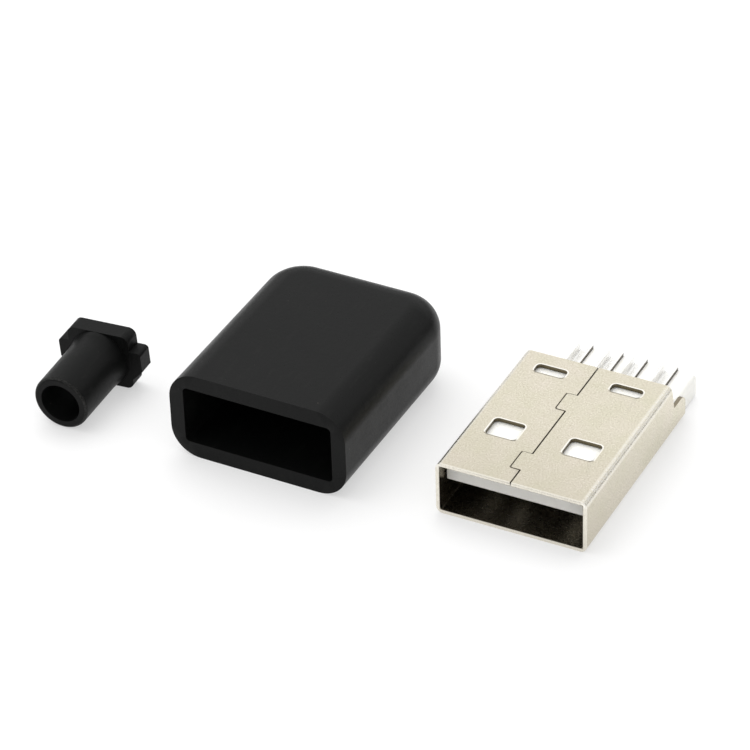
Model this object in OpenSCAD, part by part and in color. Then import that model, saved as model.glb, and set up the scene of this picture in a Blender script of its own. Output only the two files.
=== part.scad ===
// USB-A cable plug for self-assembly, lying taken apart: the metal plug,
// the hood that slides over its rear, and the strain relief for the cable.
// All lengths are in millimetres. X runs across the plug, Y from its mouth
// to its rear, Z up. The origin is the middle of the shell's underside.

/* [Shell] */
// Width over the outside of the folded shell
shell_w = 12; // [11:0.1:14]
// Height over the outside of the folded shell
shell_h = 4.5; // [4.2:0.1:5.5]
// Length of the shell from its mouth to the end of the seamed top plate
shell_l = 15.6; // [15:0.1:18]
// Thickness of the sheet metal
sheet_t = 0.3; // [0.2:0.05:0.35]
// Outside radius of the four long bends
bend_r = 0.55; // [0.5:0.05:0.8]
// Length of the open tray behind the top plate
tray_l = 2.55; // [2:0.05:3.5]
// Height of the tray's ears above the underside
ear_h = 2.3; // [2:0.05:2.8]
// Radius of each ear's rear corner
ear_r = 0.9; // [0.5:0.05:1.2]
// Distance by which each side wall leans back from top plate to ear
ear_rake = 0.38; // [0.1:0.02:0.8]

/* [Windows] */
// Width of all windows
window_w = 2.5; // [2:0.1:3]
// Distance between the centres of a left and a right window
window_pitch = 6.15; // [5.5:0.05:6.6]
// Radius of the window corners
window_r = 0.35; // [0.15:0.05:0.5]
// Length of a latch window, which the socket's springs drop into
latch_l = 2.1; // [1.5:0.1:2.5]
// Centre of the latch windows behind the mouth
latch_y = 5.75; // [5:0.05:6.5]
// Length of a locking window over the insulator's block
lock_l = 1.05; // [0.8:0.05:1.4]
// Distance from the centre of the locking windows to the top plate's end
lock_inset = 1.85; // [1.5:0.05:2.5]

/* [Seam] */
// Gap between the two folded edges that meet in the top plate
seam_gap = 0.08; // [0.04:0.01:0.15]
// Distance that the two interlocking tabs reach past the seam
tab_reach = 0.8; // [0.5:0.05:1.2]
// Length of each tab along the seam
tab_l = 2.1; // [1.5:0.1:2.5]
// Radius of the tab corners
tab_r = 0.25; // [0.1:0.05:0.4]
// Centre of the front tab behind the mouth
tab_y = 2.75; // [2:0.05:3.5]
// Distance between the centres of the two tabs
tab_pitch = 7.9; // [6.5:0.1:8.5]

/* [Insulator] */
// Clearance between the insulator and the sheet around it
insulator_fit = 0.05; // [0.02:0.01:0.1]
// Gap between each side of the tongue and the shell wall
tongue_side_gap = 0.15; // [0.1:0.05:0.4]
// Thickness of the tongue that carries the contacts
tongue_t = 1.85; // [1.6:0.05:2]
// Distance from the shell's mouth back to the tongue's tip
tongue_setback = 1; // [0.5:0.1:1.5]
// Chamfer along the lower edge of the tongue's tip
tongue_chamfer = 0.2; // [0.1:0.05:0.4]
// Depth from the mouth to the block that closes the shell
mouth_depth = 9.2; // [8.9:0.1:9.8]
// Distance from the block's rear face forward of the top plate's end
block_inset = 0.15; // [0.05:0.05:0.5]
// Length of the solder platform behind the top plate
platform_l = 5.45; // [5:0.05:6.5]
// Height of the platform's top above the shell's underside
platform_top = 1.95; // [1.9:0.05:2.1]
// Radius along the platform's upper edges
platform_r = 0.4; // [0.2:0.05:0.6]
// Height of the platform's heel above the ground behind the tray
heel_gap = 0.1; // [0.05:0.05:0.25]

/* [Contacts] */
// Width of the flat contact blades
contact_w = 1; // [0.8:0.05:1.1]
// Thickness of the contact metal
contact_t = 0.2; // [0.15:0.01:0.25]
// Distance that a blade stands proud of the tongue's underside
contact_proud = 0.05; // [0.02:0.01:0.1]
// Distance between the two outer blades, supply and ground
power_pitch = 7; // [6.8:0.05:7.2]
// Distance between the two inner blades, the data pair
data_pitch = 2; // [1.9:0.05:2.2]
// Distance from the tongue's tip to the outer blades
power_setback = 0.4; // [0.3:0.05:0.8]
// Distance by which the inner blades start behind the outer ones
data_setback = 1; // [0.8:0.05:1.5]
// Clearance around the contacts in the insulator
contact_fit = 0.02; // [0.01:0.01:0.05]
// Length of the ramp at each blade's tip
tip_ramp = 0.3; // [0.2:0.05:0.5]
// Outside width of the solder cups
cup_w = 1.3; // [1.2:0.05:1.5]
// Outside height of the solder cups
cup_h = 0.95; // [0.8:0.05:1.1]
// Distance that the cup walls stand above the platform
cup_proud = 0.25; // [0.15:0.05:0.4]
// Outside radius of the cups' lower edges
cup_r = 0.4; // [0.3:0.05:0.5]
// Distance that the cups reach past the platform's end
cup_overhang = 0.05; // [0:0.05:0.4]

/* [Hood] */
// Clearance all round the shell inside the hood
hood_fit = 0.17; // [0.05:0.01:0.3]
// Thickness of the side walls at the mouth
side_wall = 1.18; // [1.1:0.02:2]
// Thickness of the walls above and below the shell
top_wall = 1.28; // [1:0.02:2]
// Thickness of the wall round the cable outlet
rear_wall = 1.6; // [1:0.1:2.5]
// Length of the hood
hood_l = 18.1; // [16.5:0.1:24]
// Radius of the long edges and of the rear edges
hood_edge_r = 2.4; // [1:0.05:2.9]
// Radius of the rear corners, seen from above
hood_corner_r = 3.35; // [3:0.05:4.2]
// Depth of the chamber that takes the rear of the metal plug
seat_depth = 11; // [9.5:0.1:12]
// Radius of the chambers' long inner corners
cavity_r = 0.35; // [0.1:0.05:0.6]
// Clearance around the strain relief's tube in the outlet
outlet_fit = 0.1; // [0.05:0.01:0.2]

/* [Strain relief] */
// Diameter of the cable bore
cable_d = 3.25; // [2.5:0.05:3.6]
// Outside diameter of the tube behind its rounded rim
tube_tip_d = 4.5; // [4.1:0.05:4.5]
// Length of the tube in front of the flange
tube_l = 6.2; // [5:0.1:10]
// Radius of the tube's rim
rim_r = 0.2; // [0.1:0.05:0.25]
// Width of the flange
flange_w = 5.8; // [5.6:0.1:7]
// Thickness of the flange along the cable
flange_t = 1.4; // [1:0.1:2]
// Radius of the flange's corners
flange_r = 0.8; // [0.4:0.05:1.2]
// Clearance round the flange and its lugs inside the hood
flange_fit = 0.05; // [0.02:0.01:0.15]
// Distance that each lug reaches past the flange
lug_reach = 1.05; // [0.6:0.05:1.2]
// Height of the lugs' top above the cable's centre line
lug_top = 1.15; // [0.8:0.05:1.5]
// Depth below the centre line at which the lugs' chamfer starts
lug_low = 0.75; // [0.4:0.05:0.9]

/* [Layout] */
// Clear distance between the shell and the hood
hood_gap = 6.5; // [2:0.1:12]
// Distance that the hood's mouth lies ahead of the shell's mouth
hood_lead = 1.45; // [-5:0.05:5]
// Angle at which the hood lies
hood_turn = -0.7; // [-5:0.1:5]
// Clear distance between the hood and the strain relief
relief_gap = 5.05; // [3:0.05:12]
// Distance that the strain relief's rim lies ahead of the shell's mouth
relief_lead = 2.35; // [-5:0.05:5]
// Angle at which the strain relief lies
relief_turn = 1.9; // [-5:0.1:5]

/* [Hidden] */
$fn = 48;
// Overshoot of cutting tools past the faces they cut
eps = 0.5;

// Inside of the shell
inner_w = shell_w - 2 * sheet_t;
inner_h = shell_h - 2 * sheet_t;
inner_r = bend_r - sheet_t;
tray_end = shell_l + tray_l;

// Insulator
tongue_w = inner_w - 2 * tongue_side_gap;
tongue_top = shell_h - sheet_t - insulator_fit;
tongue_bottom = tongue_top - tongue_t;
block_w = inner_w - 2 * insulator_fit;
block_h = inner_h - 2 * insulator_fit;
block_r = inner_r - insulator_fit;
block_end = shell_l - block_inset;
platform_end = shell_l + platform_l;

// Contacts
power_y = tongue_setback + power_setback;
data_y = power_y + data_setback;
blade_z = tongue_bottom - contact_proud;
cup_top = platform_top + cup_proud;
cup_z = cup_top - cup_h;
cup_end = platform_end + cup_overhang;
drop = blade_z - cup_z;
drop_y = block_end - drop - contact_t;
cup_y = block_end + contact_t;
// Shift that keeps the sheet's thickness round a bend of 45 degrees
miter = contact_t * tan(22.5);

// Hood
cavity_w = shell_w + 2 * hood_fit;
cavity_h = shell_h + 2 * hood_fit;
cavity_l = hood_l - rear_wall;
hood_w = cavity_w + 2 * side_wall;
hood_h = cavity_h + 2 * top_wall;
// Centres of the rear corners
corner_x = hood_w / 2 - hood_corner_r;
corner_y = hood_l - hood_corner_r;
hood_x = -(shell_w + hood_w) / 2 - hood_gap;

// Strain relief, as it lies on its rim and on the flange's front edge
flange_h = cavity_h - 2 * flange_fit;
lug_w = flange_w + 2 * lug_reach;
tube_root_d = flange_h;
outlet_d = tube_root_d + 2 * outlet_fit;
chamber_w = lug_w + 2 * flange_fit;
relief_l = tube_l + flange_t;
relief_tilt = atan((tube_root_d - tube_tip_d) / 2 / (tube_l - rim_r));
relief_z = tube_tip_d / 2 * cos(relief_tilt) - rim_r * sin(relief_tilt);
relief_x = hood_x - (hood_w + lug_w) / 2 - relief_gap;

// Flat helper shapes

module rounded_rect(w, h, r) {
    square([w - 2 * r, h], center = true);
    square([w, h - 2 * r], center = true);
    for (x = [-1, 1], y = [-1, 1])
        translate([x * (w / 2 - r), y * (h / 2 - r)]) circle(r);
}

// Rectangle from y = 0 up, with only its two upper corners rounded
module arched_rect(w, h, r) {
    translate([-w / 2, 0]) square([w, h - r]);
    translate([r - w / 2, 0]) square([w - 2 * r, h]);
    for (x = [-1, 1]) translate([x * (w / 2 - r), h - r]) circle(r);
}

// Extrudes an outline drawn in X and Z from y0 to y1
module along_y(y0, y1) {
    translate([0, y1, 0]) rotate([90, 0, 0]) linear_extrude(y1 - y0) children();
}

// Extrudes an outline drawn in Y and Z across the given width
module across_x(w) {
    rotate([90, 0, 90]) linear_extrude(w, center = true) children();
}

// The plug's pieces are drawn with their mouth at y = 0
module plug_place() {
    translate([0, -shell_l / 2, 0]) children();
}

// Shell

module shell_section() {
    translate([0, shell_h / 2]) difference() {
        rounded_rect(shell_w, shell_h, bend_r);
        rounded_rect(inner_w, inner_h, inner_r);
    }
}

// What is cut away above the tray, seen from the side
module tray_opening() {
    polygon([
        [shell_l, shell_h + eps],
        [shell_l, shell_h - bend_r],
        [shell_l + ear_rake, ear_h],
        [tray_end + eps, ear_h],
        [tray_end + eps, shell_h + eps]
    ]);
    translate([tray_end - ear_r, ear_h - ear_r]) difference() {
        square(ear_r + eps);
        circle(ear_r);
    }
}

module window_pair(y, l) {
    for (x = [-1, 1]) translate([x * window_pitch / 2, y])
        rounded_rect(window_w, l, window_r);
}

// The hairline between the folded edges, with its two interlocking tabs
module seam_line() {
    difference() {
        union() {
            translate([-seam_gap / 2, -eps]) square([seam_gap, shell_l + 2 * eps]);
            seam_tabs(seam_gap);
        }
        seam_tabs(0);
    }
}

module seam_tabs(grow) {
    for (y = [tab_y, tab_y + tab_pitch])
        intersection() {
            translate([0, y])
                rounded_rect(2 * tab_reach + grow, tab_l + grow, tab_r + grow / 2);
            translate([-shell_w / 4, y]) square([shell_w / 2 + seam_gap, 2 * tab_l], center = true);
        }
}

module shell() {
    color([0.84, 0.80, 0.73]) plug_place() difference() {
        along_y(0, tray_end) shell_section();
        across_x(shell_w + 2 * eps) tray_opening();
        translate([0, 0, shell_h - sheet_t - eps / 2]) linear_extrude(sheet_t + eps) {
            window_pair(latch_y, latch_l);
            window_pair(shell_l - lock_inset, lock_l);
            seam_line();
        }
        translate([0, 0, -eps / 2]) linear_extrude(sheet_t + eps)
            window_pair(latch_y, latch_l);
    }
}

// Contacts

// One blade with the step that leads down to its cup, seen from the side
module blade_outline(y0, grow) {
    polygon([
        [y0 - grow, blade_z + contact_t + grow],
        [y0 - grow, blade_z + contact_t / 2],
        [y0 + tip_ramp, blade_z - grow],
        [drop_y - miter, blade_z - grow],
        [drop_y + drop - miter, cup_z - grow],
        [cup_y + contact_t, cup_z - grow],
        [cup_y + contact_t, cup_z + contact_t + grow],
        [drop_y + drop, cup_z + contact_t + grow],
        [drop_y, blade_z + contact_t + grow]
    ]);
}

// Trough with round lower edges and an open top
module cup_section() {
    difference() {
        mirror([0, 1]) translate([0, -cup_h]) arched_rect(cup_w, cup_h, cup_r);
        mirror([0, 1]) translate([0, -cup_h - contact_t - eps])
            arched_rect(cup_w - 2 * contact_t, cup_h + eps, cup_r - contact_t);
    }
}

module contact(x, y0) {
    color([0.86, 0.86, 0.84]) plug_place() translate([x, 0, 0]) {
        across_x(contact_w) blade_outline(y0, 0);
        along_y(cup_y, cup_end) translate([0, cup_z]) cup_section();
    }
}

module contact_vbus() { contact(power_pitch / 2, power_y); }
module contact_data_minus() { contact(data_pitch / 2, data_y); }
module contact_data_plus() { contact(-data_pitch / 2, data_y); }
module contact_ground() { contact(-power_pitch / 2, power_y); }

// Insulator

module tongue_outline() {
    polygon([
        [tongue_setback, tongue_top],
        [tongue_setback, tongue_bottom + tongue_chamfer],
        [tongue_setback + tongue_chamfer, tongue_bottom],
        [mouth_depth + eps, tongue_bottom],
        [mouth_depth + eps, tongue_top]
    ]);
}

// Groove, tunnel and trough that hold one contact
module contact_seat(x, y0) {
    translate([x, 0, 0]) {
        across_x(contact_w + 2 * contact_fit) {
            blade_outline(y0, contact_fit);
            translate([y0 - contact_fit, blade_z - eps])
                square([mouth_depth - y0, contact_t + contact_fit + eps]);
        }
        along_y(cup_y - contact_fit, cup_end + eps)
            translate([0, cup_z - contact_fit]) mirror([0, 1])
                translate([0, -cup_h - eps])
                    arched_rect(cup_w + 2 * contact_fit, cup_h + eps, cup_r);
    }
}

module block_section() {
    translate([0, shell_h / 2]) rounded_rect(block_w, block_h, block_r);
}

module insulator() {
    color([0.96, 0.96, 0.95]) plug_place() difference() {
        union() {
            across_x(tongue_w) tongue_outline();
            along_y(mouth_depth, block_end) block_section();
            along_y(block_end - eps, tray_end + insulator_fit) intersection() {
                block_section();
                arched_rect(block_w, platform_top, platform_r);
            }
            along_y(tray_end + insulator_fit, platform_end) translate([0, heel_gap])
                arched_rect(block_w, platform_top - heel_gap, platform_r);
        }
        for (x = [-1, 1]) {
            contact_seat(x * power_pitch / 2, power_y);
            contact_seat(x * data_pitch / 2, data_y);
        }
    }
}

// Hood

// Outline of a wall with rounded outer edges, from the centre plane outwards
module wall_outline() {
    translate([0, hood_h / 2]) intersection() {
        rounded_rect(2 * hood_corner_r, hood_h, hood_edge_r);
        translate([0, -hood_h]) square([hood_corner_r + eps, 2 * hood_h]);
    }
}

module hood_body() {
    for (side = [0, 1])
        mirror([side, 0, 0]) translate([corner_x, corner_y, 0]) {
            rotate_extrude(angle = 90) wall_outline();
            along_y(-corner_y, 0) wall_outline();
        }
    translate([0, corner_y, 0]) across_x(2 * corner_x) wall_outline();
    translate([-corner_x, 0, 0]) cube([2 * corner_x, corner_y, hood_h]);
}

// Chambers for the metal plug and for the strain relief, and the outlet
module hood_hollow() {
    along_y(-eps, seat_depth) rounded_rect(cavity_w, cavity_h, cavity_r);
    along_y(seat_depth - eps, cavity_l) rounded_rect(chamber_w, cavity_h, cavity_r);
    along_y(cavity_l - eps, hood_l + eps) circle(d = outlet_d);
}

module hood() {
    color([0.17, 0.18, 0.18]) plug_place()
        translate([hood_x, -hood_lead, 0]) rotate([0, 0, hood_turn]) difference() {
            hood_body();
            translate([0, 0, hood_h / 2]) hood_hollow();
        }
}

// Strain relief, drawn with its cable's centre line along Y

module tube_outline() {
    polygon([
        [0, 0],
        [tube_tip_d / 2 - rim_r, 0],
        [tube_tip_d / 2 - rim_r, rim_r],
        [tube_tip_d / 2, rim_r],
        [tube_root_d / 2, tube_l],
        [tube_root_d / 2, tube_l + flange_t / 2],
        [0, tube_l + flange_t / 2]
    ]);
    translate([tube_tip_d / 2 - rim_r, rim_r]) circle(rim_r);
}

module lug_outline() {
    chamfer = lug_reach;
    polygon([
        [-lug_w / 2, lug_top],
        [-lug_w / 2, -lug_low],
        [-lug_w / 2 + chamfer, -lug_low - chamfer],
        [lug_w / 2 - chamfer, -lug_low - chamfer],
        [lug_w / 2, -lug_low],
        [lug_w / 2, lug_top]
    ]);
}

module strain_relief() {
    color([0.15, 0.15, 0.15]) plug_place() translate([relief_x, -relief_lead, relief_z])
        rotate([relief_tilt, 0, relief_turn]) difference() {
            union() {
                rotate([-90, 0, 0]) rotate_extrude() tube_outline();
                along_y(tube_l, relief_l) {
                    rounded_rect(flange_w, flange_h, flange_r);
                    lug_outline();
                }
            }
            along_y(-eps, relief_l + eps) circle(d = cable_d);
        }
}

shell();
insulator();
contact_vbus();
contact_data_minus();
contact_data_plus();
contact_ground();
hood();
strain_relief();
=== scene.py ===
"""Looks of a USB-A plug that lies taken apart: metal plug, hood and strain relief."""

import math

import bmesh
import bpy
from mathutils import Matrix, Vector

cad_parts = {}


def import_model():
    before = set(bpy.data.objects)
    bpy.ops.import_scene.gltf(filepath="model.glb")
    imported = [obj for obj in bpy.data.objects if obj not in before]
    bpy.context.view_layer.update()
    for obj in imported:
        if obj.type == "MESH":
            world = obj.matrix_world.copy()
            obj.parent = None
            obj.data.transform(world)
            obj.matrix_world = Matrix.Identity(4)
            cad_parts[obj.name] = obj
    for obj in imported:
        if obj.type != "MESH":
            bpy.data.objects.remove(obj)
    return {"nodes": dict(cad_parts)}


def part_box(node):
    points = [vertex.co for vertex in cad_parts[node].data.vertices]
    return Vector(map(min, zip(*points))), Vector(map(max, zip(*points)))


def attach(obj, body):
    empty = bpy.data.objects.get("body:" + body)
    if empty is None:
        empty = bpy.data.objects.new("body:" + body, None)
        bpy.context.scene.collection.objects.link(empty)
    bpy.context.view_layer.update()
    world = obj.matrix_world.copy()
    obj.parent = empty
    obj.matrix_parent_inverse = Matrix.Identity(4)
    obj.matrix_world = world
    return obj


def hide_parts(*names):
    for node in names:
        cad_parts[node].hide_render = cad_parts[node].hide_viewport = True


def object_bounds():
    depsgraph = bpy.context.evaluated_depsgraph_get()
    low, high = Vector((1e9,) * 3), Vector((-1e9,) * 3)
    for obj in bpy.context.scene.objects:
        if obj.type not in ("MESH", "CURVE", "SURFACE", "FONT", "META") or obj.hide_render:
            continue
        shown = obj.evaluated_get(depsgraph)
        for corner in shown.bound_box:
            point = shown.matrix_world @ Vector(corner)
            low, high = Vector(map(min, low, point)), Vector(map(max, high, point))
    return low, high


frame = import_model()
cad_low, cad_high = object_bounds()

MM = 0.001
ROOT = "root"
CONTACTS = ("contact_vbus", "contact_data_minus", "contact_data_plus", "contact_ground")

# Places on the metal plug, in the frame's metres

PLUG_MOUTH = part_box("shell")[0].y
# Half width, lowest and highest point of the space inside the shell
SHELL_INSIDE = Vector((5.72, 0.28, 4.22)) * MM
# Heights above which a point belongs to the top plate, and to its upper face
TOP_PLATE = 4.0 * MM
TOP_FACE = 4.4 * MM
TOP_PLATE_END = 7.82 * MM
# Distances from the middle at which the top plate's bends start, and turn down
BEND_START = 5.3 * MM
BEND = 5.55 * MM
# Windows in the top plate, and the middle and half length of each pair
WINDOW_X = 3.075 * MM
WINDOW_HALF = 1.25 * MM
WINDOW_R = 0.35 * MM
WINDOWS = ((-2.05 * MM, 1.05 * MM), (5.95 * MM, 0.525 * MM))
# A distance greater than that of any point from its window, in metres
FAR = 1.0
# Middles of the two tabs in the seam, half of their length, and how far they reach
TABS = (-5.05 * MM, 2.85 * MM)
TAB_HALF = 1.05 * MM
TAB_REACH = 0.8 * MM
# Half widths of the lines in the seam, past the tabs' ends and in front of the tabs, and
# the distance of the last two from the tab
SEAM_LINE = 0.065 * MM
END_LINE = 0.055 * MM
FRONT_LINE = 0.06 * MM
LINE_GAP = 0.02 * MM
# Underside of the tongue, how far back its shade reaches, and the front of its tip
TONGUE_UNDERSIDE = 2.42 * MM
TONGUE_SHADE_END = 6.0 * MM
TONGUE_TIP = -6.75 * MM
# Half the outside width of a solder cup, and the middles of the four cups
CUP_HALF = 0.65 * MM
CUPS_X = tuple(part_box(name)[0].x + CUP_HALF for name in CONTACTS)

# Tones of the nickel plate: two clouds, stained patches, pits, glints and a tone that darkens
# towards the mouth
NICKEL_COOL = (0.75, 0.715, 0.57, 1.0)
NICKEL_WARM = (0.81, 0.75, 0.64, 1.0)
NICKEL_STAIN = (0.62, 0.56, 0.44, 1.0)
NICKEL_PIT = (0.52, 0.47, 0.36, 1.0)
NICKEL_GLINT = (0.96, 0.92, 0.80, 1.0)
NICKEL_FRONT = (0.45, 0.40, 0.32, 1.0)
# Painted shade and highlights on the edges of the windows and of the mouth, painted highlights on
# the long bends, and painted shade inside the shell, on the ears' edges, on the cut walls and in
# the seam
LIP_SHADE = (0.30, 0.27, 0.21, 1.0)
LIP_HIGHLIGHT = (1.0, 0.97, 0.90, 1.0)
BEND_HIGHLIGHT = (1.0, 0.98, 0.93, 1.0)
INSIDE_SHADE = (0.12, 0.10, 0.065, 1.0)
EAR_EDGE_SHADE = (0.12, 0.09, 0.045, 1.0)
CUT_WALL_SHADE = (0.10, 0.08, 0.04, 1.0)
SEAM_SHADE = (0.06, 0.045, 0.025, 1.0)
# Share of the upward direction under which a face counts as a cut wall, and share of the
# sideways direction under which a face of an ear counts as its edge
WALL_UPWARD = 0.55
EAR_SIDEWAYS = 0.6

WHITE_LIGHT = (0.96, 0.95, 0.91, 1.0)
WHITE_DARK = (0.92, 0.91, 0.86, 1.0)
WHITE_FLOW = (0.84, 0.82, 0.74, 1.0)
TIP_SHADE = (0.30, 0.28, 0.24, 1.0)
WHITE_SHADE = (0.055, 0.042, 0.025, 1.0)

TIN_LIGHT = (0.99, 0.985, 0.97, 1.0)
TIN_DARK = (0.88, 0.87, 0.84, 1.0)
TIN_BLOT = (0.72, 0.69, 0.60, 1.0)
CUP_WALL_SHADE = (0.07, 0.05, 0.025, 1.0)

BLACK_FORWARD_EDGE = (0.045, 0.045, 0.043, 1.0)
DUST = (0.14, 0.13, 0.11, 1.0)

# Strain relief, in millimetres and degrees. The tube's centre line is Y, from its tip at 0.
TUBE_L, RELIEF_L = 6.2, 7.6
TIP_R, ROOT_R, BORE_R, RIM_R = 2.25, 2.27, 1.625, 0.25
# Distance before the flange, and what the tube's radius gains there
TUBE_FLARE = ((1.4, 0.0), (0.8, 0.03), (0.4, 0.08))
FLANGE_X, FLANGE_HALF, FLANGE_TOP, FLANGE_R = 0.08, 2.62, 2.45, 0.6
LUG_HALF, LUG_TOP, LUG_LOW, LUG_CHAMFER, LUG_R = 3.55, 1.15, -0.5, 1.05, 0.3
# How far the lugs stay inside the flange's two faces, how far the tube's neck stays under
# its top, and how far the tool that cuts the bore reaches past both ends
LUG_INSET = 0.01
NECK_INSET = 0.02
BORE_PAST = 1.0
RELIEF_TIP = Vector((-36.2, -10.15, 2.246))
RELIEF_TILT, RELIEF_TURN, RELIEF_ROLL = 1.2, 1.1, -3.0

# Floor, in metres, and the share of it that glows to the camera and to mirrors
FLOOR_HALF = 1.5
FLOOR_GAP = 0.002 * MM
FLOOR_TONE = 0.97
FLOOR_GLOW = 0.5

# The brighter side of the studio, and its weakest and strongest light
BRIGHT_SIDE = Vector((-0.7, 0.7, 0.0)).normalized()
STUDIO_LIGHT = (0.13, 1.1)

LAMP_DISTANCE = 0.8
LAMP_SIZE = 0.9

# Camera: where it stands from its target in degrees and millimetres, and its lens
CAMERA_AZIMUTH, CAMERA_ELEVATION, CAMERA_ROLL = 27.697, 35.555, -1.998
CAMERA_TARGET = Vector((-17.730, 5.671, 0.0)) * MM
CAMERA_DISTANCE = 304.122 * MM
CAMERA_LENS, CAMERA_SENSOR = 190.65, 36.0


# Shader nodes

class Shader:
    """A new material, or the world, with short calls that add and link nodes."""

    def __init__(self, owner):
        owner.use_nodes = True
        self.owner = owner
        self.tree = owner.node_tree
        self.tree.nodes.clear()

    def add(self, kind, inputs=None, **settings):
        node = self.tree.nodes.new("ShaderNode" + kind)
        for name, value in settings.items():
            setattr(node, name, value)
        for name, value in (inputs or {}).items():
            self.put(node.inputs[name], value)
        return node

    def put(self, socket, value):
        if isinstance(value, bpy.types.NodeSocket):
            self.tree.links.new(value, socket)
        else:
            socket.default_value = value

    def here(self):
        """Place on the object, in the frame's own metres."""
        return self.add("TexCoord").outputs["Object"]

    def facing(self):
        """The three shares of the direction that the face looks in, without smoothing."""
        return self.axes(self.add("NewGeometry").outputs["True Normal"])

    def axes(self, place):
        return self.add("SeparateXYZ", {"Vector": place}).outputs

    def stretched(self, place, scale):
        return self.add("Mapping", {"Vector": place, "Scale": scale}).outputs["Vector"]

    def noise(self, place, per_mm, detail=2.0, rough=0.5):
        node = self.add("TexNoise", {
            "Vector": place, "Scale": per_mm / MM, "Detail": detail, "Roughness": rough})
        return node.outputs["Fac"]

    def remap(self, value, old, new):
        node = self.add("MapRange", {
            "Value": value, "From Min": old[0], "From Max": old[1],
            "To Min": new[0], "To Max": new[1]})
        return node.outputs["Result"]

    def math(self, operation, a, b=0.0):
        node = self.add("Math", operation=operation)
        self.put(node.inputs[0], a)
        self.put(node.inputs[1], b)
        return node.outputs[0]

    def blend(self, share, a, b):
        """Colour between a and b."""
        node = self.add("Mix", data_type="RGBA")
        self.put(node.inputs["Factor"], share)
        self.put(node.inputs[6], a)
        self.put(node.inputs[7], b)
        return node.outputs[2]

    def blend_value(self, share, a, b):
        node = self.add("Mix", {"Factor": share}, data_type="FLOAT")
        self.put(node.inputs[2], a)
        self.put(node.inputs[3], b)
        return node.outputs[0]

    def above(self, value, edge, soft):
        """1 where the value lies above the edge, 0 below it, with a soft step."""
        node = self.add("MapRange", {
            "Value": value, "From Min": edge - soft, "From Max": edge + soft,
            "To Min": 0.0, "To Max": 1.0}, interpolation_type="SMOOTHSTEP")
        return node.outputs["Result"]

    def below(self, value, edge, soft):
        """1 where the value lies below the edge, 0 above it, with a soft step."""
        return self.above(self.math("MULTIPLY", value, -1.0), -edge, soft)

    def near(self, value, middle, reach):
        """1 where the value lies within reach of the middle, 0 elsewhere."""
        off = self.math("ABSOLUTE", self.math("SUBTRACT", value, middle))
        return self.math("LESS_THAN", off, reach)

    def both(self, *shares):
        """Product of all shares."""
        result = shares[0]
        for share in shares[1:]:
            result = self.math("MULTIPLY", result, share)
        return result

    def either(self, *shares):
        """Greatest of all shares."""
        result = shares[0]
        for share in shares[1:]:
            result = self.math("MAXIMUM", result, share)
        return result

    def specks(self, place, per_mm, radius, few):
        """Sparse round dots. The radius is a share of the distance between them."""
        cells = self.add("TexVoronoi", {"Vector": place, "Scale": per_mm / MM})
        dot = self.math("LESS_THAN", cells.outputs["Distance"], radius)
        chosen = self.math("GREATER_THAN", self.axes(cells.outputs["Color"])[0], few)
        return self.both(dot, chosen)

    def bump(self, height, depth_mm, under=None):
        inputs = {"Height": height, "Strength": 1.0, "Distance": depth_mm * MM}
        if under is not None:
            inputs["Normal"] = under
        return self.add("Bump", inputs).outputs["Normal"]

    def principled(self, **inputs):
        names = {name.replace("_", " "): value for name, value in inputs.items()}
        return self.add("BsdfPrincipled", names).outputs["BSDF"]

    def finish(self, surface):
        kind = "OutputWorld" if isinstance(self.owner, bpy.types.World) else "OutputMaterial"
        self.add(kind, {"Surface": surface})
        return self.owner


def grey(value):
    return (value, value, value, 1.0)


# Materials

def window_distance(s, away, y):
    """Distance from the edge of the nearest window in the top plate, negative inside it."""
    nearest = FAR
    across = s.math("ABSOLUTE", s.math("SUBTRACT", away, WINDOW_X))
    for middle, half_length in WINDOWS:
        along = s.math("ABSOLUTE", s.math("SUBTRACT", y, middle))
        beyond = s.add("CombineXYZ", {
            "X": s.math("MAXIMUM", s.math("SUBTRACT", across, WINDOW_HALF - WINDOW_R), 0.0),
            "Y": s.math("MAXIMUM", s.math("SUBTRACT", along, half_length - WINDOW_R), 0.0)})
        length = s.add("VectorMath", {0: beyond.outputs[0]}, operation="LENGTH").outputs["Value"]
        nearest = s.math("MINIMUM", s.math("SUBTRACT", length, WINDOW_R), nearest)
    return nearest


def seam_shade(s, x, y):
    """Painted shade: a dark line in the seam's gap, round the ends of its tabs and in front of
    them.
    """
    beside_tab = s.either(*(s.near(y, middle, TAB_HALF) for middle in TABS))
    front = s.either(*(s.near(y, middle - TAB_HALF - LINE_GAP, FRONT_LINE) for middle in TABS))
    straight = s.both(s.near(x, 0.0, SEAM_LINE), s.math("SUBTRACT", 1.0, beside_tab))
    end = s.both(s.near(x, -TAB_REACH - LINE_GAP, END_LINE), beside_tab)
    across_tab = s.both(front, s.near(x, -TAB_REACH / 2, TAB_REACH / 2))
    return s.either(straight, end, across_tab)


def nickel_tone(s, cloud, patch, grain):
    """Clouded and grained plate, before anything that depends on the place."""
    tone = s.blend(s.remap(cloud, (0.3, 0.7), (0.0, 1.0)), NICKEL_COOL, NICKEL_WARM)
    tone = s.blend(s.remap(patch, (0.5, 0.75), (0.0, 0.25)), tone, NICKEL_STAIN)
    tone = s.blend(s.remap(grain, (0.42, 0.68), (0.0, 0.65)), tone, NICKEL_PIT)
    return s.blend(s.remap(grain, (0.42, 0.3), (0.0, 0.7)), tone, NICKEL_GLINT)


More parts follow.
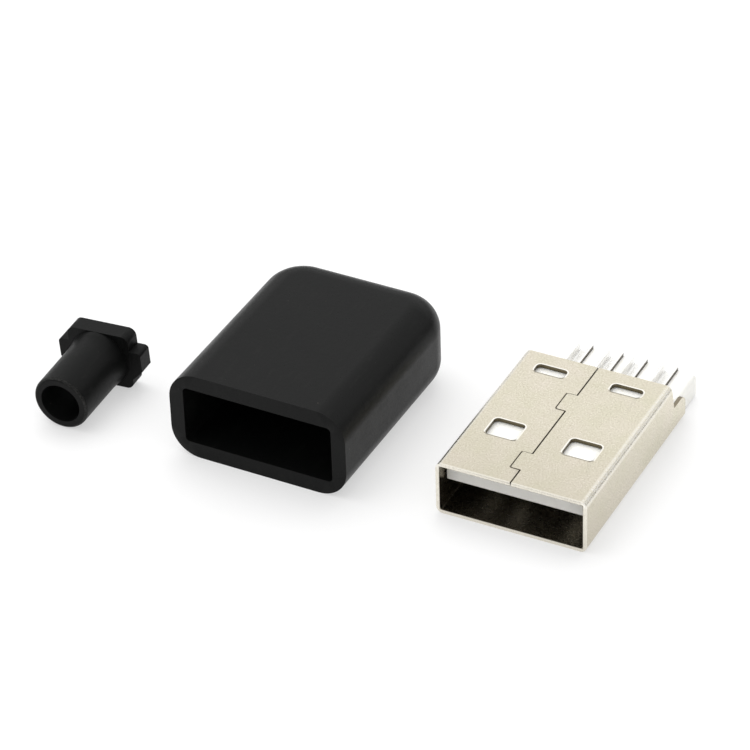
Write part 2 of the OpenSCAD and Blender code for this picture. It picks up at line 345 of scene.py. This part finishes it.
def nickel():
    """Nickel plate, with painted shade inside the shell, on cut walls, ear edges and in the seam,
    and painted highlights on edges and bends.
    """
    s = Shader(bpy.data.materials.new("nickel_plate"))
    place = s.here()
    x, y, z = s.axes(place)
    away = s.math("ABSOLUTE", x)
    facing = s.facing()
    sideways, upward = (s.math("ABSOLUTE", facing[axis]) for axis in (0, 2))
    upper_face = s.above(z, TOP_FACE, 0.05 * MM)
    from_window = window_distance(s, away, y)

    # Painted shade inside the folded shell
    inside = s.both(s.below(away, SHELL_INSIDE.x, 0.02 * MM),
                    s.above(z, SHELL_INSIDE.y, 0.02 * MM),
                    s.below(z, SHELL_INSIDE.z, 0.02 * MM))
    # Painted shade on the steep walls cut in the top plate
    cut = s.both(s.math("LESS_THAN", upward, WALL_UPWARD), s.math("LESS_THAN", away, BEND_START),
                 s.above(z, TOP_PLATE, 0.05 * MM), s.above(y, PLUG_MOUTH + 0.06 * MM, 0.02 * MM))
    # Painted highlights on the windows' edges, with painted shade on their front edges
    lip = s.both(s.below(from_window, 0.12 * MM, 0.03 * MM), upper_face)
    front_lip = s.either(*(s.near(y, middle - half_length, 0.13 * MM)
                         for middle, half_length in WINDOWS))
    # Painted highlight along the mouth's rim
    mouth_rim = s.below(y, PLUG_MOUTH + 0.09 * MM, 0.04 * MM)
    # Painted highlight, speckled by the grain, along the long bends
    bend = s.both(s.above(away, BEND, 0.1 * MM), s.above(z, TOP_PLATE, 0.15 * MM))
    # Painted shade on the ears' edges
    ear_edge = s.both(s.math("LESS_THAN", sideways, EAR_SIDEWAYS),
                      s.above(y, TOP_PLATE_END, 0.02 * MM), s.above(z, 1.0 * MM, 0.05 * MM))
    # Painted shade in the seam
    in_seam_shade = s.both(seam_shade(s, x, y), s.above(z, TOP_FACE, 0.02 * MM))

    cloud = s.noise(place, 0.5, 3.0)
    patch = s.noise(place, 2.6, 3.0, 0.6)
    grain = s.noise(place, 8.0, 3.0, 0.7)
    tone = nickel_tone(s, cloud, patch, grain)
    front = s.remap(y, (PLUG_MOUTH, PLUG_MOUTH + 9 * MM), (0.28, 0.0))
    tone = s.blend(front, tone, NICKEL_FRONT)
    # Painted shade and highlights on the window edges and mouth rim, then painted highlights on
    # the bends and painted shade inside, on the ears, on the cut walls and in the seam
    tone = s.blend(s.both(lip, front_lip, 0.6), tone, LIP_SHADE)
    lip_highlight = s.both(lip, s.math("SUBTRACT", 1.0, front_lip))
    tone = s.blend(s.either(lip_highlight, s.both(mouth_rim, 0.45)), tone, LIP_HIGHLIGHT)
    tone = s.blend(s.both(bend, s.remap(grain, (0.38, 0.62), (0.0, 0.8))), tone, BEND_HIGHLIGHT)
    tone = s.blend(s.both(inside, 0.74), tone, INSIDE_SHADE)
    tone = s.blend(s.both(ear_edge, 0.75), tone, EAR_EDGE_SHADE)
    tone = s.blend(s.both(cut, 0.93), tone, CUT_WALL_SHADE)
    tone = s.blend(s.both(in_seam_shade, 0.8), tone, SEAM_SHADE)

    rolled = s.both(s.above(from_window, 0.03 * MM, 0.09 * MM), upper_face)
    return s.finish(s.principled(
        Base_Color=tone, Metallic=1.0, Roughness=s.remap(grain, (0.3, 0.7), (0.2, 0.42)),
        Normal=s.bump(grain, 0.009, s.bump(patch, 0.006, s.bump(rolled, 0.025)))))


def white_plastic():
    """Glossy white moulding, with painted shade between the tongue and the shell's floor and on
    the tongue's tip.
    """
    s = Shader(bpy.data.materials.new("white_plastic"))
    place = s.here()
    y, z = s.axes(place)[1:]
    shade = s.both(s.below(z, TONGUE_UNDERSIDE, 0.05 * MM),
                   s.below(y, TONGUE_SHADE_END, 0.2 * MM))
    # Painted shade on the front face of the tongue's tip
    tip = s.below(y, TONGUE_TIP, 0.03 * MM)
    cloud = s.noise(place, 0.4, 2.0)
    fine = s.noise(place, 14.0, 2.0)
    flow = s.noise(s.stretched(place, (1.0, 0.2, 1.0)), 3.0, 2.0)
    colour = s.blend(cloud, WHITE_LIGHT, WHITE_DARK)
    colour = s.blend(s.remap(flow, (0.5, 0.8), (0.0, 0.2)), colour, WHITE_FLOW)
    colour = s.blend(s.both(tip, 0.3), colour, TIP_SHADE)
    colour = s.blend(s.both(shade, 0.82), colour, WHITE_SHADE)
    return s.finish(s.principled(
        Base_Color=colour, Roughness=s.remap(fine, (0.3, 0.7), (0.28, 0.42)),
        Subsurface_Weight=0.1, Subsurface_Radius=(0.3 * MM, 0.3 * MM, 0.25 * MM),
        Subsurface_Scale=1.0, Normal=s.bump(fine, 0.001, s.bump(flow, 0.002))))


def tin():
    """Bright tin over brass, with painted shade on the outer wall of each cup that faces right."""
    s = Shader(bpy.data.materials.new("tin_plate"))
    place = s.here()
    x = s.axes(place)[0]
    # Painted shade on the outer wall of each cup that faces right
    outer = s.either(*(s.near(x, middle + CUP_HALF, 0.06 * MM) for middle in CUPS_X))
    wall = s.both(s.above(s.facing()[0], 0.7, 0.1), outer)
    drawn = s.noise(s.stretched(place, (1.0, 0.15, 1.0)), 6.0, 3.0)
    blot = s.noise(place, 2.5, 2.0)
    colour = s.blend(drawn, TIN_LIGHT, TIN_DARK)
    colour = s.blend(s.remap(blot, (0.5, 0.75), (0.0, 0.3)), colour, TIN_BLOT)
    colour = s.blend(s.both(wall, 0.95), colour, CUP_WALL_SHADE)
    return s.finish(s.principled(
        Base_Color=colour, Metallic=0.65, Roughness=s.remap(drawn, (0.3, 0.7), (0.14, 0.3)),
        Normal=s.bump(drawn, 0.003)))


def black_plastic(name, tone, roughness, texture_mm, specular):
    """Black moulding with a fine spark-eroded texture and a few specks of dust."""
    s = Shader(bpy.data.materials.new(name))
    place = s.here()
    cloud = s.noise(place, 0.35, 2.0)
    fine = s.noise(place, 8.0, 3.0, 0.65)
    dimples = s.noise(place, 2.6, 2.0)
    scuff = s.noise(s.stretched(place, (1.6, 0.35, 0.6)), 1.1, 5.0, 0.7)
    # Lighter on edges that face forward, but not on the flat front
    forward = s.math("MULTIPLY", s.facing()[1], -1.0)
    forward_edges = s.both(s.above(forward, 0.35, 0.1), s.math("LESS_THAN", forward, 0.93))
    dust = s.either(s.specks(place, 0.75, 0.03, 0.6), s.specks(place, 1.9, 0.035, 0.8))
    colour = s.blend(cloud, (tone * 0.85, tone * 0.9, tone * 0.88, 1.0),
                     (tone * 1.15, tone * 1.2, tone * 1.15, 1.0))
    colour = s.blend(s.remap(scuff, (0.55, 0.8), (0.0, 0.5)), colour,
                     (tone * 3.2, tone * 3.2, tone * 3.0, 1.0))
    colour = s.blend(s.both(forward_edges, s.remap(fine, (0.4, 0.6), (0.1, 0.7))), colour, BLACK_FORWARD_EDGE)
    colour = s.blend(s.both(dust, 0.6), colour, DUST)
    rough = s.remap(fine, (0.3, 0.7), (roughness - 0.06, roughness + 0.07))
    rough = s.math("ADD", rough, s.remap(scuff, (0.45, 0.7), (0.0, 0.07)))
    return s.finish(s.principled(
        Base_Color=colour, Roughness=rough, Specular_IOR_Level=specular,
        Normal=s.bump(fine, texture_mm, s.bump(dimples, texture_mm * 1.5))))


# Pieces

def soften(piece, edge_mm):
    """Small round edges, as modifiers only."""
    weld = piece.modifiers.new("weld", "WELD")
    weld.merge_threshold = 0.0005 * MM
    bevel = piece.modifiers.new("edge", "BEVEL")
    bevel.width = edge_mm * MM
    bevel.segments = 3
    bevel.limit_method = "ANGLE"
    bevel.angle_limit = math.radians(28)
    bevel.use_clamp_overlap = True
    bevel.miter_outer = "MITER_ARC"
    normals = piece.modifiers.new("normals", "WEIGHTED_NORMAL")
    normals.keep_sharp = False


def dress(name, material, edge_mm):
    """Gives a CAD node its material and the small round edges of the real piece."""
    piece = frame["nodes"][name]
    for holder in piece.material_slots:
        holder.material = material
    soften(piece, edge_mm)


def linked(name, mesh):
    """A new object in the scene."""
    made_object = bpy.data.objects.new(name, mesh)
    bpy.context.scene.collection.objects.link(made_object)
    return made_object


def as_object(name, made):
    bmesh.ops.recalc_face_normals(made, faces=made.faces)
    mesh = bpy.data.meshes.new(name)
    made.to_mesh(mesh)
    made.free()
    return linked(name, mesh)


def revolved(name, profile, steps=96):
    """Closed solid about the Y axis from (y, radius) points between its two end discs."""
    made = bmesh.new()
    rings = [[made.verts.new((r * math.cos(2 * math.pi * i / steps), y,
                              r * math.sin(2 * math.pi * i / steps)))
              for i in range(steps)] for y, r in profile]
    for low_ring, high_ring in zip(rings, rings[1:]):
        for i in range(steps):
            j = (i + 1) % steps
            made.faces.new((low_ring[i], low_ring[j], high_ring[j], high_ring[i]))
    made.faces.new(rings[0])
    made.faces.new(list(reversed(rings[-1])))
    return as_object(name, made)


def prism(name, outline, y0, y1):
    """Closed solid from y0 to y1 with an outline of (x, z) points."""
    made = bmesh.new()
    ends = [[made.verts.new((x, y, z)) for x, z in outline] for y in (y0, y1)]
    for i in range(len(outline)):
        j = (i + 1) % len(outline)
        made.faces.new((ends[0][i], ends[0][j], ends[1][j], ends[1][i]))
    made.faces.new(ends[0])
    made.faces.new(list(reversed(ends[1])))
    return as_object(name, made)


def arc(x, z, radius, start, steps=8):
    """Points of a quarter circle about x, z, anticlockwise from a start angle in degrees."""
    return [(x + radius * math.cos(math.radians(start + 90 * i / steps)),
             z + radius * math.sin(math.radians(start + 90 * i / steps)))
            for i in range(steps + 1)]


def joined(name, base, steps):
    """Applies boolean steps, each an operation with its tool, and removes the tools."""
    for operation, tool in steps:
        modifier = base.modifiers.new(operation, "BOOLEAN")
        modifier.operation = operation
        modifier.object = tool
        modifier.solver = "EXACT"
    bpy.context.view_layer.update()
    result = bpy.data.meshes.new_from_object(
        base.evaluated_get(bpy.context.evaluated_depsgraph_get()))
    result.name = name
    for used in [base] + [tool for operation, tool in steps]:
        bpy.data.objects.remove(used, do_unlink=True)
    return linked(name, result)


def relief_tube():
    """Tube with a rounded rim, flat below, that spreads a little into the flange."""
    rim = [(RIM_R - RIM_R * math.sin(math.radians(a)), TIP_R - RIM_R + RIM_R * math.cos(
        math.radians(a))) for a in range(90, -1, -15)]
    flare = [(TUBE_L - before, ROOT_R + gain) for before, gain in TUBE_FLARE]
    neck = [(TUBE_L + past, FLANGE_TOP - NECK_INSET) for past in (-0.1, 0.7)]
    tube = revolved("relief_tube", rim + flare + neck)
    for vertex in tube.data.vertices:
        vertex.co.z = max(vertex.co.z, -ROOT_R)
    return tube


def relief_flange():
    inner_x, low, high = FLANGE_HALF - FLANGE_R, FLANGE_R - ROOT_R, FLANGE_TOP - FLANGE_R
    corners = ((inner_x, high, 0), (-inner_x, high, 90), (-inner_x, low, 180), (inner_x, low, 270))
    outline = [(px + FLANGE_X, pz) for x, z, start in corners
               for px, pz in arc(x, z, FLANGE_R, start)]
    return prism("relief_flange", outline, TUBE_L, RELIEF_L)


def relief_lugs():
    """Both side lugs in one, with rounded upper corners and chamfered lower ones."""
    half_foot, foot = LUG_HALF - LUG_CHAMFER, LUG_LOW - LUG_CHAMFER
    outline = (
        arc(-LUG_HALF + LUG_R, LUG_TOP - LUG_R, LUG_R, 90)
        + [(-LUG_HALF, LUG_LOW), (-half_foot, foot), (half_foot, foot), (LUG_HALF, LUG_LOW)]
        + arc(LUG_HALF - LUG_R, LUG_TOP - LUG_R, LUG_R, 0))
    return prism("relief_lugs", [(x + FLANGE_X, z) for x, z in outline],
                 TUBE_L + LUG_INSET, RELIEF_L - LUG_INSET)


def strain_relief():
    """Stands for the CAD's strain relief, with the narrower flange and lugs of the real one."""
    tube, flange, lugs = relief_tube(), relief_flange(), relief_lugs()
    bore = revolved("relief_bore", [(-BORE_PAST, BORE_R), (RELIEF_L + BORE_PAST, BORE_R)], 72)
    piece = joined("strain_relief_moulding", tube, [
        ("UNION", flange), ("UNION", lugs), ("DIFFERENCE", bore)])
    turn = (Matrix.Rotation(math.radians(RELIEF_TURN), 4, "Z")
            @ Matrix.Rotation(math.radians(RELIEF_TILT), 4, "X")
            @ Matrix.Rotation(math.radians(RELIEF_ROLL), 4, "Y"))
    piece.data.transform(Matrix.Translation(RELIEF_TIP * MM) @ turn @ Matrix.Scale(MM, 4))
    for polygon in piece.data.polygons:
        polygon.use_smooth = True
    soften(piece, 0.14)
    piece.data.materials.clear()
    piece.data.materials.append(black_plastic("relief_black", 0.0055, 0.40, 0.006, 0.10))
    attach(piece, ROOT)
    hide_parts("strain_relief")


# Floor, light and camera

def floor():
    """White floor that takes shadows and stays bright where the camera or a mirror sees it."""
    s = Shader(bpy.data.materials.new("white_floor"))
    rays = s.add("LightPath").outputs
    seen = s.either(rays["Is Camera Ray"], rays["Is Glossy Ray"], rays["Is Transmission Ray"])
    lit = s.add("BsdfDiffuse", {"Color": grey(FLOOR_TONE)}).outputs[0]
    glow = s.add("Emission", {"Color": grey(1.0), "Strength": 1.0}).outputs[0]
    share = s.both(seen, FLOOR_GLOW)
    s.finish(s.add("MixShader", {0: share, 1: lit, 2: glow}).outputs[0])
    mesh = bpy.data.meshes.new("floor")
    mesh.from_pydata([(x * FLOOR_HALF, y * FLOOR_HALF, 0)
                      for x, y in ((-1, -1), (1, -1), (1, 1), (-1, 1))], [], [(0, 1, 2, 3)])
    mesh.materials.append(s.owner)
    plane = linked("floor", mesh)
    plane.location.z = cad_low.z - FLOOR_GAP


def world():
    """A studio that is bright above on its left and rear, and dim elsewhere."""
    s = Shader(bpy.data.worlds.new("studio"))
    bpy.context.scene.world = s.owner
    towards = s.add("TexCoord").outputs["Generated"]
    beside = s.add("VectorMath", {0: towards, 1: BRIGHT_SIDE},
                   operation="DOT_PRODUCT").outputs["Value"]
    sky = s.both(s.above(s.axes(towards)[2], 0.17, 0.12), s.above(beside, -0.35, 0.5))
    # The camera itself sees plain white
    seen = s.add("LightPath").outputs["Is Camera Ray"]
    strength = s.blend_value(seen, s.remap(sky, (0.0, 1.0), STUDIO_LIGHT), 1.0)
    s.finish(s.add("Background", {"Color": grey(1.0), "Strength": strength}).outputs[0])


def lamp(name, towards, watts):
    """A square soft lamp that stands in a direction from the origin and shines back at it."""
    data = bpy.data.lights.new(name, "AREA")
    data.shape = "SQUARE"
    data.size = LAMP_SIZE
    data.energy = watts
    lamp_object = linked(name, data)
    direction = Vector(towards).normalized()
    lamp_object.location = direction * LAMP_DISTANCE
    lamp_object.rotation_euler = direction.to_track_quat("Z", "Y").to_euler()
    lamp_object.visible_glossy = False


def camera():
    azimuth, elevation, roll = (
        math.radians(a) for a in (CAMERA_AZIMUTH, CAMERA_ELEVATION, CAMERA_ROLL))
    back = Vector((math.sin(azimuth) * math.cos(elevation),
                   -math.cos(azimuth) * math.cos(elevation), math.sin(elevation)))
    data = bpy.data.cameras.new("camera")
    data.sensor_width = CAMERA_SENSOR
    data.lens = CAMERA_LENS
    data.clip_start = 0.01
    data.clip_end = 10.0
    eye = linked("camera", data)
    right = (-back).cross(Vector((0, 0, 1))).normalized()
    up = right.cross(-back)
    turned_right = math.cos(roll) * right + math.sin(roll) * up
    turned_up = -math.sin(roll) * right + math.cos(roll) * up
    turn = Matrix((turned_right, turned_up, back)).transposed()
    eye.matrix_world = (
        Matrix.Translation(CAMERA_TARGET + CAMERA_DISTANCE * back) @ turn.to_4x4())
    bpy.context.scene.camera = eye


dress("shell", nickel(), 0.035)
dress("insulator", white_plastic(), 0.03)
contact_metal = tin()
for contact in CONTACTS:
    dress(contact, contact_metal, 0.02)
dress("hood", black_plastic("hood_black", 0.005, 0.32, 0.0035, 0.11), 0.06)
strain_relief()

floor()
world()
lamp("key", (-0.5, 0.4, 1.0), 3.8)
lamp("fill", (0.7, -0.35, 0.6), 1.6)
camera()
bpy.context.scene.view_settings.view_transform = "Standard"
